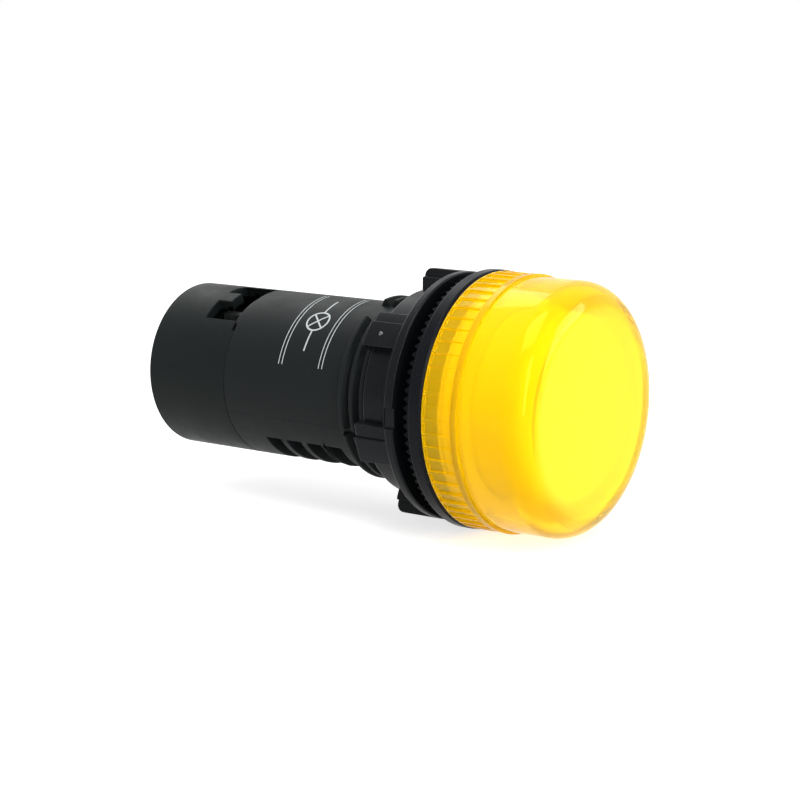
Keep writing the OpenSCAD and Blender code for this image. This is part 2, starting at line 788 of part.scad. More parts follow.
housing();
panel_gasket();
fixing_nut();
lens();
lens_seal();
diffuser();
lamp_holder();
lamp_board();
lamps();
header_pins();
header_strip();
driver_board();
smoothing_capacitor();
bridge_rectifier();
resistors();
surge_suppressor();
contact_blades();
terminal_block();
clamp_cage(-1);  // clamp_cage_1
clamp_cage(1);  // clamp_cage_2
clamp_screw(-1);  // clamp_screw_1
clamp_screw(1);  // clamp_screw_2
rear_cover();
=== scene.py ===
"""Panel pilot light for a 22 mm hole: the looks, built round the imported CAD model.

Lengths are metres, and those in millimetres are multiplied by MM where they are used.
The lamp's axis is Y: the lens faces -Y, the terminals face +Y, and the panel's front face
would lie in the plane y = 0.
"""

import math

import bmesh
import bpy
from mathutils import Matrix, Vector


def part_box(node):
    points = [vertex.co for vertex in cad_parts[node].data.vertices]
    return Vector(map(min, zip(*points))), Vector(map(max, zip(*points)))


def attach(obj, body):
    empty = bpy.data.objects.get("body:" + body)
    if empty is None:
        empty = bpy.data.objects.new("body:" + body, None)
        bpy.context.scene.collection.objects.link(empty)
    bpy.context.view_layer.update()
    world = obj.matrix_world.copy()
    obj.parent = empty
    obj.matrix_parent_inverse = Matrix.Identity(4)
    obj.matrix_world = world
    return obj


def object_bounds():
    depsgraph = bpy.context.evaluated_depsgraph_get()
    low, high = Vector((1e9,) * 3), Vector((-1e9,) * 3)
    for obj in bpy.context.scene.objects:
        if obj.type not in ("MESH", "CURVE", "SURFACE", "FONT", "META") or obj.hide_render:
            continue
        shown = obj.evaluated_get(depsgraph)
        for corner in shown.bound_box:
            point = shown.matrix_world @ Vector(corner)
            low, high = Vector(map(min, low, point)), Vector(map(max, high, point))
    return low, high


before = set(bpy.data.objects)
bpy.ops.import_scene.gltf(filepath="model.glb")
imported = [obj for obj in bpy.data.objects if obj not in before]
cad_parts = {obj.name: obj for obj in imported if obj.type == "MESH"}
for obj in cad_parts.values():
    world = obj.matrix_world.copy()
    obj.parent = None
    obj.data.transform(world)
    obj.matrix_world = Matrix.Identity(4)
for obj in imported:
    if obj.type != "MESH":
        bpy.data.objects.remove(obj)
cad_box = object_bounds()
MM = 0.001
scene = bpy.context.scene
scene.view_settings.view_transform = "Standard"


# ---- Camera ----
# A long lens a quarter of a metre away, ahead of the lens on its left side and a little above
# the lamp's axis, so that the whole length of the barrel shows behind the coloured lens.

SENSOR_WIDTH = 36
FOCAL_LENGTH = 96.83
CAMERA_PLACE = Vector((-201.218, -136.255, 45.369)) * MM
azimuth = math.radians(-53.828)
elevation = math.radians(10.647)

camera_data = bpy.data.cameras.new("camera")
camera_data.lens = FOCAL_LENGTH
camera_data.sensor_width = SENSOR_WIDTH
camera_data.clip_start = 0.01
camera_data.clip_end = 10
camera = bpy.data.objects.new("camera", camera_data)
scene.collection.objects.link(camera)
scene.camera = camera
camera_back = Vector(
    (
        math.sin(azimuth) * math.cos(elevation),
        -math.cos(azimuth) * math.cos(elevation),
        math.sin(elevation),
    )
)
camera.location = CAMERA_PLACE
camera.rotation_mode = "QUATERNION"
camera.rotation_quaternion = (-camera_back).to_track_quat("-Z", "Y")


# ---- Housing ----
# One black moulding of glass-filled polyamide: bezel ring, threaded neck and vented barrel.
# It comes from a fine-grained mould in two halves, so its skin is satin, its edges are slightly
# round, and a fine flash line runs along each side where the halves met.

FLOAT = "NodeSocketFloat"
COLOUR = "NodeSocketColor"


def new_material(name):
    """An empty node material and its node tree."""
    material = bpy.data.materials.new(name)
    material.use_nodes = True
    material.node_tree.nodes.clear()
    return material, material.node_tree


def connect(tree, made, inputs):
    """Sets a node's inputs. Each is a plain value, or the socket that feeds it."""
    for key, value in dict(inputs).items():
        if isinstance(value, bpy.types.NodeSocket):
            tree.links.new(value, made.inputs[key])
        else:
            made.inputs[key].default_value = value
    return made


def node(tree, kind, inputs=(), **settings):
    """Adds a node with its settings and inputs."""
    made = tree.nodes.new(kind)
    for key, value in settings.items():
        setattr(made, key, value)
    return connect(tree, made, inputs)


def maths(tree, operation, *values):
    """The result of a Math node."""
    return node(tree, "ShaderNodeMath", enumerate(values), operation=operation).outputs[0]


def object_place(tree):
    """The point on the piece, in metres from the object's origin."""
    return node(tree, "ShaderNodeTexCoord").outputs["Object"]


def axes(tree, vector):
    """A vector's X, Y and Z, each as a socket."""
    return node(tree, "ShaderNodeSeparateXYZ", {0: vector}).outputs


def noise(tree, scale, detail=3.0, rough=0.55):
    """Noise with so many waves to the metre, from 0 to 1."""
    inputs = {"Vector": object_place(tree), "Scale": scale, "Detail": detail, "Roughness": rough}
    return node(tree, "ShaderNodeTexNoise", inputs).outputs["Fac"]


def ramp(tree, value, low, high, start=0.0, end=1.0):
    """A value spread from one range to another, and held at its ends."""
    inputs = {"Value": value, "From Min": low, "From Max": high, "To Min": start, "To Max": end}
    return node(tree, "ShaderNodeMapRange", inputs).outputs[0]


def blend_colour(tree, share, first, second):
    """Two colours mixed: the share is that of the second."""
    inputs = {0: share, 6: first, 7: second}
    return node(tree, "ShaderNodeMix", inputs, data_type="RGBA").outputs[2]


def new_group(name, inputs, outputs):
    """A shader node group with named sockets, and the sockets inside it."""
    group = bpy.data.node_groups.new(name, "ShaderNodeTree")
    for socket, kind, value in inputs:
        made = group.interface.new_socket(name=socket, in_out="INPUT", socket_type=kind)
        made.default_value = value
    for socket, kind in outputs:
        group.interface.new_socket(name=socket, in_out="OUTPUT", socket_type=kind)
    given = group.nodes.new("NodeGroupInput").outputs
    out = group.nodes.new("NodeGroupOutput").inputs
    return group, given, out


def placed(tree, group, inputs):
    """Places a node group in a material with its own values, and gives its outputs."""
    made = node(tree, "ShaderNodeGroup", node_tree=group)
    return connect(tree, made, inputs).outputs


# Moulded plastic: fine grain, soft cloudy changes of colour and gloss, and a little dust
DUST_COLOUR = (0.5, 0.49, 0.45, 1)
moulded_skin, given, out = new_group(
    "moulded skin",
    [
        ("Colour", COLOUR, (0.05, 0.05, 0.05, 1)),
        ("Grain Size", FLOAT, 0.12),
        ("Gloss", FLOAT, 0.4),
        ("Cloud", FLOAT, 0.3),
        ("Dust", FLOAT, 0.05),
    ],
    [("Colour", COLOUR), ("Roughness", FLOAT), ("Height", FLOAT)],
)
cloud = maths(moulded_skin, "SUBTRACT", noise(moulded_skin, 210, 4, 0.65), 0.5)
shade = maths(moulded_skin, "MULTIPLY_ADD", cloud, given["Cloud"], 1.0)
tint = node(
    moulded_skin, "ShaderNodeVectorMath", {0: given["Colour"], "Scale": shade}, operation="SCALE"
).outputs[0]
specks = ramp(moulded_skin, noise(moulded_skin, 4200, 1), 0.7, 0.78)
dust = maths(moulded_skin, "MULTIPLY", specks, given["Dust"])
grain = noise(moulded_skin, maths(moulded_skin, "DIVIDE", 1 / MM, given["Grain Size"]), 2, 0.6)
dusty = blend_colour(moulded_skin, dust, tint, DUST_COLOUR)
uneven_gloss = maths(moulded_skin, "MULTIPLY_ADD", cloud, 0.35, given["Gloss"])
moulded_skin.links.new(dusty, out["Colour"])
moulded_skin.links.new(uneven_gloss, out["Roughness"])
moulded_skin.links.new(grain, out["Height"])


def bump(tree, height, strength, depth):
    """A normal from a height. The depth is in millimetres."""
    inputs = {"Height": height, "Strength": strength, "Distance": depth * MM}
    return node(tree, "ShaderNodeBump", inputs).outputs["Normal"]


def finish_surface(tree, inputs):
    """The Principled shader with its inputs, joined to the material's output."""
    shader = node(tree, "ShaderNodeBsdfPrincipled", inputs)
    node(tree, "ShaderNodeOutputMaterial", {"Surface": shader.outputs[0]})


def moulded_plastic(
    name, colour, gloss, grain=0.12, depth=0.01, cloud=0.3, dust=0.02, shine=0.5, **sockets
):
    """Opaque moulded plastic. Grain size and depth are in millimetres."""
    material, tree = new_material(name)
    inputs = {
        "Colour": (*colour, 1),
        "Grain Size": grain,
        "Gloss": gloss,
        "Cloud": cloud,
        "Dust": dust,
    }
    skin = placed(tree, moulded_skin, inputs)
    finish_surface(
        tree,
        {
            "Base Color": skin["Colour"],
            "Roughness": skin["Roughness"],
            "Normal": bump(tree, skin["Height"], 0.5, depth),
            "Specular IOR Level": shine,
            **sockets,
        },
    )
    return material


# The corners of neighbouring CAD faces are joined up to this distance, before edges are rounded
WELD_REACH = 0.002 * MM


def mark_outer_edges(mesh, sharp, wanted):
    """Marks for a bevel the sharp edges that stick out, at the places that wanted() accepts.

    The other sharp edges stay crisp.
    """
    bm = bmesh.new()
    bm.from_mesh(mesh)
    same = bmesh.ops.find_doubles(bm, verts=bm.verts, dist=WELD_REACH)["targetmap"]

    def ends(edge):
        return frozenset(same.get(corner, corner) for corner in edge.verts)

    beside = {}
    for face in bm.faces:
        for edge in face.edges:
            beside.setdefault(ends(edge), []).append(face)
    rounded, crisp = [], []
    for edge in bm.edges:
        faces = beside[ends(edge)]
        first, second = faces[0], faces[-1]
        apart = second.calc_center_median() - first.calc_center_median()
        turned = len(faces) == 2 and first.normal.angle(second.normal, 0.0) > math.radians(sharp)
        outer = turned and apart.dot(first.normal) < 0
        rounded.append(outer and wanted((edge.verts[0].co + edge.verts[1].co) / 2 / MM))
        crisp.append(turned and not rounded[-1])
    bm.free()
    mesh.attributes.new("bevel_weight_edge", "FLOAT", "EDGE").data.foreach_set("value", rounded)
    if "sharp_edge" in mesh.attributes:
        mesh.attributes.remove(mesh.attributes["sharp_edge"])
    mesh.attributes.new("sharp_edge", "BOOLEAN", "EDGE").data.foreach_set("value", crisp)


def dress(name, material, round_edge=0.0, segments=2, sharp=35, outer_edges=None):
    """Gives a CAD node its material, and rounds its sharp edges by a radius in millimetres.

    outer_edges leaves the inner edges sharp. It takes a place and says if its edges are rounded.
    """
    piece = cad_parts[name]
    piece.data.materials.clear()
    piece.data.materials.append(material)
    if round_edge:
        if "custom_normal" in piece.data.attributes:
            piece.data.attributes.remove(piece.data.attributes["custom_normal"])
        weld = piece.modifiers.new("weld", "WELD")
        weld.merge_threshold = WELD_REACH
        bevel = piece.modifiers.new("round edges", "BEVEL")
        bevel.width = round_edge * MM
        bevel.segments = segments
        if outer_edges:
            mark_outer_edges(piece.data, sharp, outer_edges)
            bevel.limit_method = "WEIGHT"
        else:
            bevel.limit_method = "ANGLE"
            bevel.angle_limit = math.radians(sharp)
        bevel.harden_normals = True
        bevel.use_clamp_overlap = False


# The bezel's cavity is polished, so that the ring is glossier than the barrel. Its darker black is
# painted shade, for the shade it lies in between the nut and the lens
BARREL_BLACK = (0.0125, 0.0150, 0.0155, 1)
BEZEL_SHADED_BLACK = (0.0045, 0.0055, 0.0075, 1)
housing_black, tree = new_material("housing black")
# Painted shade: in front of the seat plane the housing is painted darker, and it is also glossier
bezel_shade_and_gloss = ramp(tree, axes(tree, object_place(tree))["Y"], 0.2 * MM, 0.6 * MM)
skin = placed(
    tree,
    moulded_skin,
    {
        "Colour": blend_colour(tree, bezel_shade_and_gloss, BEZEL_SHADED_BLACK, BARREL_BLACK),
        "Grain Size": 0.12,
        "Gloss": ramp(tree, bezel_shade_and_gloss, 0, 1, 0.28, 0.45),
        "Cloud": 0.3,
        "Dust": 0.02,
    },
)
finish_surface(
    tree,
    {
        "Base Color": skin["Colour"],
        "Roughness": skin["Roughness"],
        "Normal": bump(tree, skin["Height"], 0.5, 0.01),
        "Specular IOR Level": 0.08,
    },
)
THREAD_ROOT_R, THREAD_FRONT, THREAD_END = 10.3, 0.5, 14


def off_thread_roots(place):
    """The thread's narrow roots keep sharp edges."""
    in_thread = THREAD_FRONT < place.y < THREAD_END
    return not (in_thread and math.hypot(place.x, place.z) < THREAD_ROOT_R)


dress("housing", housing_black, 0.12, outer_edges=off_thread_roots)

cover_low, cover_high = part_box("rear_cover")
barrel_r = cover_high.x / MM
joint_y = cover_low.y / MM


def round_point(r, y, degrees):
    """A point at a radius, a station on the axis and an angle from +X towards +Z."""
    angle = math.radians(degrees)
    return Vector((r * math.cos(angle), y, r * math.sin(angle))) * MM


def new_piece(name, bm, material, body, smooth=True):
    """Makes a piece that rides on a body, from a bmesh that it frees."""
    mesh = bpy.data.meshes.new(name)
    bm.to_mesh(mesh)
    bm.free()
    for face in mesh.polygons:
        face.use_smooth = smooth
    mesh.materials.append(material)
    piece = bpy.data.objects.new(name, mesh)
    scene.collection.objects.link(piece)
    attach(piece, body)


def join_rings(bm, rings):
    """Makes a closed skin over rings that have as many points each."""
    for first, second in zip(rings, rings[1:]):
        for a in range(len(first)):
            b = (a + 1) % len(first)
            bm.faces.new((first[a], first[b], second[b], second[a]))
    bm.faces.new(rings[0][::-1])
    bm.faces.new(rings[-1])
    bmesh.ops.recalc_face_normals(bm, faces=bm.faces)


def lay_strip(bm, path, across, profile):
    """Lays a closed profile of [across, up] points in millimetres along a path.

    Each step of the path is a place and its upward direction. across is the strip's sideways
    direction, or a list of them, one for each step.
    """
    rings = []
    for index, (place, up) in enumerate(path):
        side = across[index] if isinstance(across, list) else across
        rings.append([bm.verts.new(place + side * u * MM + up * v * MM) for u, v in profile])
    join_rings(bm, rings)


def radial(degrees):
    """The direction straight out from the axis at an angle."""
    angle = math.radians(degrees)
    return Vector((math.cos(angle), 0, math.sin(angle)))


def tangent(degrees):
    """The direction round the axis at an angle."""
    angle = math.radians(degrees)
    return Vector((-math.sin(angle), 0, math.cos(angle)))


# Flash lines: a low ridge that wavers slightly in height
FLASH = [(-0.07, -0.03), (-0.02, 0.02), (0.02, 0.02), (0.07, -0.03)]
FLASH_AT = (201, 21)
FLASH_STEPS = 60
THREAD_REAR = 13.2
flash_end = joint_y - 0.15
for index, degrees in enumerate(FLASH_AT):
    bm = bmesh.new()
    path = []
    for step in range(FLASH_STEPS + 1):
        y = THREAD_REAR + (flash_end - THREAD_REAR) * step / FLASH_STEPS
        waver = 0.006 * math.sin(y * 3.1 + index) + 0.004 * math.sin(y * 7.7)
        path.append((round_point(barrel_r + waver, y, degrees), radial(degrees)))
    lay_strip(bm, path, tangent(degrees), FLASH)
    new_piece(f"flash_line_{index + 1}", bm, housing_black, "lamp")


# ---- Print on the barrel ----
# A light grey pad print, a few hundredths of a millimetre thick: the drawing symbol of a lamp,
# a circle with a cross, between fine rules that run part of the way round the barrel.

PRINT_GREY = (0.56, 0.6, 0.6, 1)
PRINT_WORN = (0.3, 0.33, 0.33, 1)
PRINT_LIFT = 0.012
PRINT_THICK = 0.015
RULES_AT = (15.1, 15.6, 21.0, 21.5)
RULE_START, RULE_END, RULE_WIDTH = 92, 162, 0.11
RULE_STEP = 1.5
SYMBOL_Y, SYMBOL_AT, SYMBOL_R = 18.3, 127, 1.45
SYMBOL_LEAD = 16
SYMBOL_LINE, SYMBOL_CIRCLE_LINE = 0.2, 0.22
SYMBOL_SIDES = 40

print_grey, tree = new_material("print grey")
worn = ramp(tree, noise(tree, 2400, 3, 0.7), 0.62, 0.75)
finish_surface(
    tree,
    {
        "Base Color": blend_colour(tree, worn, PRINT_GREY, PRINT_WORN),
        "Roughness": ramp(tree, noise(tree, 900), 0.3, 0.7, 0.42, 0.6),
        "Specular IOR Level": 0.3,
    },
)


def print_profile(width):
    """The section of a printed line."""
    half = width / 2
    return [(-half, 0), (half, 0), (half, PRINT_THICK), (-half, PRINT_THICK)]


def print_rule(bm, y, start, end, width):
    """A rule round the barrel at a station, between two angles."""
    steps = max(2, round(abs(end - start) / RULE_STEP))
    path = []
    for step in range(steps + 1):
        degrees = start + (end - start) * step / steps
        path.append((round_point(barrel_r + PRINT_LIFT, y, degrees), radial(degrees)))
    lay_strip(bm, path, Vector((0, 1, 0)), print_profile(width))


def print_line(bm, points, width, closed=False):
    """A line through [station, angle] points on the barrel's surface."""
    per_degree = math.radians(1) * barrel_r
    flat = [Vector((y, degrees * per_degree)) for y, degrees in points]
    path, sides = [], []
    count = len(flat)
    for index, spot in enumerate(flat):
        before = flat[(index - 1) % count] if closed or index else spot
        after = flat[(index + 1) % count] if closed or index < count - 1 else spot
        along = (after - before).normalized()
        degrees = spot.y / per_degree
        path.append((round_point(barrel_r + PRINT_LIFT, spot.x, degrees), radial(degrees)))
        sides.append(Vector((0, 1, 0)) * -along.y + tangent(degrees) * along.x)
    if closed:
        path.append(path[0])
        sides.append(sides[0])
    lay_strip(bm, path, sides, print_profile(width))


bm = bmesh.new()
for y in RULES_AT:
    print_rule(bm, y, RULE_START, RULE_END, RULE_WIDTH)
new_piece("print_rules", bm, print_grey, "lamp", smooth=False)

symbol_span = math.degrees(SYMBOL_R / barrel_r)


def symbol_point(reach, turn):
    """A place in the lamp symbol: its reach from the middle, as a share of the circle's."""
    along = SYMBOL_Y + reach * SYMBOL_R * math.cos(turn)
    return along, SYMBOL_AT + reach * symbol_span * math.sin(turn)


bm = bmesh.new()
for way in (-1, 1):
    lead_start = SYMBOL_AT + way * symbol_span
    print_rule(bm, SYMBOL_Y, lead_start, lead_start + way * SYMBOL_LEAD, SYMBOL_LINE)
circle = [symbol_point(1, step * math.tau / SYMBOL_SIDES) for step in range(SYMBOL_SIDES)]
print_line(bm, circle, SYMBOL_CIRCLE_LINE, closed=True)
for turn in (math.pi / 4, 3 * math.pi / 4):
    arm = [symbol_point(reach, turn) for reach in (-1, -0.5, 0, 0.5, 1)]
    print_line(bm, arm, SYMBOL_LINE)
new_piece("print_lamp_symbol", bm, print_grey, "lamp", smooth=False)


# ---- Rear cover ----
# A cup of the same plastic, snapped over the barrel's spigot. Wires enter through the stepped
# window in its rim, and a screwdriver reaches the terminal screws through two holes in its end.

cover_black = moulded_plastic("cover black", (0.0095, 0.012, 0.012), 0.46, grain=0.15, shine=0.08)
dress("rear_cover", cover_black, 0.12)


# ---- Panel gasket ----
# A soft black rubber ring, pressed into the back of the bezel. Its teeth bite on the panel's face.

gasket_rubber = moulded_plastic(
    "gasket rubber",
    (0.0035, 0.0042, 0.0052),
    0.6,
    grain=0.2,
    depth=0.012,
    dust=0.04,
    shine=0.06,
)
dress("panel_gasket", gasket_rubber, 0.04)


# ---- Fixing nut ----
# Moulded in a harder, glossier black plastic, with six pads to grip and two ears for a spanner.
# A small scar on one pad is left by the gate through which the mould was filled.

nut_black = moulded_plastic(
    "nut black",
    (0.0055, 0.0066, 0.0082),
    0.3,
    grain=0.35,
    depth=0.012,
    dust=0.03,
    shine=0.1,
)
SEAT_REACH = 0.05
nut_low, nut_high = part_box("fixing_nut")


def off_seating_face(place):
    """The nut's front face, which seats on the panel, keeps sharp edges."""
    return place.y > nut_low.y / MM + SEAT_REACH


dress("fixing_nut", nut_black, 0.16, 3, outer_edges=off_seating_face)

# The gate scar: a torn stub, as [share of its radius, height] rings. Its pale grey is a painted
# highlight, for the bright glints on the gate's residue
PAD_R = 13.4
SCAR_AT, SCAR_R, SCAR_FROM_END = 142, 0.28, 2.1
SCAR_RINGS = ((1.0, -0.03), (0.85, 0.03), (0.45, 0.02), (0.3, 0.07))
SCAR_SIDES = 14
scar_y = nut_high.y / MM - SCAR_FROM_END
# Painted highlight: the stub is painted pale grey to stand for glints on it
scar_glint_grey = moulded_plastic("scar glint grey", (0.12, 0.125, 0.13), 0.5, grain=0.1, dust=0.2)
bm = bmesh.new()
rings = []
for reach, lift in SCAR_RINGS:
    ring = []
    for side in range(SCAR_SIDES):
        turn = side * math.tau / SCAR_SIDES
        away = SCAR_R * reach * (1 + 0.12 * math.sin(3 * turn + 5 * reach))
        rise = lift * (1 + 0.4 * math.sin(2 * turn + 1))
        spot = round_point(PAD_R + rise, scar_y + away * math.cos(turn), SCAR_AT)
        ring.append(bm.verts.new(spot + tangent(SCAR_AT) * away * math.sin(turn) * MM))
    rings.append(ring)
join_rings(bm, rings)
new_piece("nut_gate_scar", bm, scar_glint_grey, "nut")


# ---- Lens ----
# A thick cap of clear yellow polycarbonate, polished outside, with moulded ribs around its skirt.
# It screws on the lamp holder. Where the wall is seen edge on, its yellow is deeper.
# Olive painted shade marks where refraction shows dark lines: the end ring of the ribbed band, and
# the top and bottom of the shoulder.

LENS_CLEAR = (1.0, 0.97, 0.008, 1)
LENS_DEEP = (1.0, 0.73, 0.006, 1)
# The olive of the painted shade, where refraction shows dark lines
LENS_SHADE_OLIVE = (0.62, 0.45, 0.005, 1)
FACE_R, SHOULDER_R = 10.6 * MM, 12.2 * MM
FACE_DEPTH, SHOULDER_DEPTH = 0.6 * MM, 1.6 * MM
BAND_END, BAND_RING, BAND_RING_R = 3.75 * MM, 0.85 * MM, 14.3 * MM
lens_low, lens_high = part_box("lens")


def off_axis(tree, x=0.0, z=0.0):
    """How far a point is from the line along Y through x and z."""
    place = axes(tree, object_place(tree))
    across = maths(tree, "SUBTRACT", place["X"], x)
    rise = maths(tree, "SUBTRACT", place["Z"], z)
    square = maths(tree, "MULTIPLY", rise, rise)
    return maths(tree, "SQRT", maths(tree, "MULTIPLY_ADD", across, across, square))


def product(tree, first, *others):
    """The product of masks, which is 1 only where each of them is."""
    for other in others:
        first = maths(tree, "MULTIPLY", first, other)
    return first


lens_yellow, tree = new_material("lens yellow")
place = axes(tree, object_place(tree))
radius = off_axis(tree)
wall = maths(
    tree,
    "MAXIMUM",
    ramp(tree, radius, FACE_R, SHOULDER_R),
    ramp(tree, place["Y"], lens_low.y + FACE_DEPTH, lens_low.y + SHOULDER_DEPTH),
)
streak = ramp(tree, noise(tree, 120, 3), 0.35, 0.65, -0.06, 0.06)
body = blend_colour(tree, maths(tree, "ADD", wall, streak), LENS_CLEAR, LENS_DEEP)

# Painted shade: the plain ring at the end of the ribbed band is painted olive, for the dark line
# that refraction shows there
ring_end = lens_high.y - BAND_END
ring_start = ring_end - BAND_RING
ring = product(
    tree,
    ramp(tree, place["Y"], ring_start, ring_start + 0.1 * MM),
    ramp(tree, place["Y"], ring_end, ring_end - 0.1 * MM),
    ramp(tree, radius, BAND_RING_R, BAND_RING_R + 0.2 * MM, 0, 0.95),
)
# Painted shade: the shoulder is painted olive at the top and at the bottom, for the dark crescents
# that refraction shows there
shoulder_crescent_shade = product(
    tree,
    ramp(tree, maths(tree, "ABSOLUTE", place["Z"]), 8.6 * MM, 10.8 * MM, 0, 0.5),
    ramp(tree, radius, 11.7 * MM, 12.3 * MM),
    ramp(tree, radius, 13.3 * MM, 12.9 * MM),
    ramp(tree, place["Y"], lens_low.y + 3.2 * MM, lens_low.y + 2.2 * MM),
)
# Both painted shades together, which turn the yellow olive
refraction_shade = maths(tree, "MAXIMUM", ring, shoulder_crescent_shade)
shader = node(
    tree,
    "ShaderNodeBsdfPrincipled",
    {
        "Base Color": blend_colour(tree, refraction_shade, body, LENS_SHADE_OLIVE),
        "Roughness": ramp(tree, noise(tree, 700), 0.3, 0.7, 0.02, 0.06),
        "IOR": 1.45,
        "Specular IOR Level": 0.06,
        "Specular Tint": (1.0, 0.84, 0.1, 1),
        "Transmission Weight": 0.7,
    },
)
# Light that passes through on its way to what lies behind comes out yellow
passed = node(tree, "ShaderNodeBsdfTransparent", {"Color": (1.0, 0.88, 0.12, 1)})
shadow = node(tree, "ShaderNodeLightPath").outputs["Is Shadow Ray"]
lit = node(tree, "ShaderNodeMixShader", {0: shadow, 1: shader.outputs[0], 2: passed.outputs[0]})
node(tree, "ShaderNodeOutputMaterial", {"Surface": lit.outputs[0]})
dress("lens", lens_yellow, 0.06)


# ---- Lens seal ----
# A rubber O-ring, hidden by the lens's skirt, that keeps water out of the lamp holder.

seal_rubber = moulded_plastic("seal rubber", (0.012, 0.012, 0.012), 0.5, shine=0.3)
dress("lens_seal", seal_rubber)


# ---- Lamp holder and diffuser ----
# White polycarbonate: an opaque threaded ring plugged into the housing's neck, and a milky cap
# that spreads the light of the lamps behind it.

holder_white = moulded_plastic("holder white", (0.84, 0.83, 0.78), 0.4, cloud=0.04, dust=0.0)
dress("lamp_holder", holder_white, 0.08)
diffuser_milk = moulded_plastic(
    "diffuser milk",
    (0.88, 0.87, 0.82),
    0.5,
    cloud=0.03,
    dust=0.0,
    shine=0.2,
    **{
        "Subsurface Weight": 0.3,
        "Subsurface Radius": (1.0, 1.0, 0.9),
        "Subsurface Scale": 0.001,
    },
)
dress("diffuser", diffuser_milk)


# ---- Lamps and their board ----
# Seven yellow light-emitting diodes, each cast in clear epoxy round its metal cup, stand on a
# round board of glass-fibre laminate under white lacquer, which shows its ring-shaped tracks.

LAMP_EPOXY = (1.0, 0.72, 0.12, 1)
LAMP_CUP = (0.72, 0.5, 0.2, 1)
lamp_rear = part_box("lamps")[1].y
lamps_yellow, tree = new_material("lamps yellow")
station = axes(tree, object_place(tree))["Y"]
cup = ramp(tree, station, lamp_rear - 2.2 * MM, lamp_rear - 0.6 * MM)
bubbles = ramp(tree, noise(tree, 3000, 2), 0.62, 0.7, 0, 0.2)
finish_surface(
    tree,
    {
        "Base Color": blend_colour(tree, maths(tree, "ADD", cup, bubbles), LAMP_EPOXY, LAMP_CUP),
        "Roughness": ramp(tree, noise(tree, 900), 0.3, 0.7, 0.06, 0.14),
        "Transmission Weight": 0.55,
        "IOR": 1.5,
    },
)
dress("lamps", lamps_yellow)

TRACK_PITCH = 1.6 * MM
LAMP_BOARD_R = 10.55 * MM
WHITE_LACQUER = (0.78, 0.78, 0.74, 1)
WHITE_OVER_TRACK = (0.7, 0.72, 0.64, 1)
LAMINATE_EDGE = (0.42, 0.36, 0.2, 1)
lamp_board_white, tree = new_material("lamp board white")
radius = off_axis(tree)
waves = maths(tree, "SINE", maths(tree, "MULTIPLY", radius, math.tau / TRACK_PITCH))
track = ramp(tree, waves, 0.1, 0.3)
rim = ramp(tree, radius, LAMP_BOARD_R, LAMP_BOARD_R + 0.1 * MM)
lacquer = blend_colour(tree, track, WHITE_LACQUER, WHITE_OVER_TRACK)
finish_surface(
    tree,
    {
        "Base Color": blend_colour(tree, rim, lacquer, LAMINATE_EDGE),
        "Roughness": ramp(tree, noise(tree, 700), 0.3, 0.7, 0.3, 0.42),
        "Normal": bump(tree, track, 0.6, 0.03),
    },
)
dress("lamp_board", lamp_board_white)


# ---- Metal: pins, blades, cages and screws ----
# Tinned brass header pins, rolled brass contact blades, and cages and slotted screws of steel
# with a bright zinc plating. The steel parts are pressed or turned.

ZINC_STAIN = (0.5, 0.47, 0.38)
LATHE_PITCH = 0.14 * MM

# Bare or plated metal: streaks left by rolling or turning, and stains
worked_metal, given, out = new_group(
    "worked metal",
    [
        ("Colour", COLOUR, (0.7, 0.7, 0.7, 1)),
        ("Stain", COLOUR, (0.4, 0.38, 0.34, 1)),
        ("Streak Size", FLOAT, 0.2),
        ("Gloss", FLOAT, 0.3),
    ],
    [("Colour", COLOUR), ("Roughness", FLOAT), ("Height", FLOAT)],
)
stretched = node(
    worked_metal,
    "ShaderNodeVectorMath",
    {0: object_place(worked_metal), 1: (1.0, 0.08, 1.0)},
    operation="MULTIPLY",
).outputs[0]
streaks = node(
    worked_metal,
    "ShaderNodeTexNoise",
    {
        "Vector": stretched,
        "Scale": maths(worked_metal, "DIVIDE", 1 / MM, given["Streak Size"]),
        "Detail": 3.0,
    },
).outputs["Fac"]
stain = ramp(worked_metal, noise(worked_metal, 600, 4, 0.65), 0.5, 0.75, 0.0, 0.5)
stained = blend_colour(worked_metal, stain, given["Colour"], given["Stain"])
uneven = maths(worked_metal, "SUBTRACT", streaks, 0.5)
rough = maths(worked_metal, "MULTIPLY_ADD", uneven, 0.3, given["Gloss"])
rough = maths(worked_metal, "MULTIPLY_ADD", stain, 0.25, rough)
worked_metal.links.new(stained, out["Colour"])
worked_metal.links.new(rough, out["Roughness"])
worked_metal.links.new(streaks, out["Height"])


def worked(name, colour, stain, gloss, streak=0.2, depth=0.004, lathe_centre=None):
    """Solid metal. Streak size and depth are in millimetres.

    lathe_centre is the middle of the rings that a lathe left, which replace the streaks.
    """
    material, tree = new_material(name)
    inputs = {"Colour": (*colour, 1), "Stain": (*stain, 1), "Streak Size": streak, "Gloss": gloss}
    metal = placed(tree, worked_metal, inputs)
    height = metal["Height"]
    if lathe_centre:
        reach = off_axis(tree, lathe_centre.x, lathe_centre.z)
        height = maths(tree, "SINE", maths(tree, "MULTIPLY", reach, math.tau / LATHE_PITCH))
    finish_surface(
        tree,
        {
            "Base Color": metal["Colour"],
            "Roughness": metal["Roughness"],
            "Metallic": 1.0,
            "Normal": bump(tree, height, 0.4, depth),
        },
    )
    return material


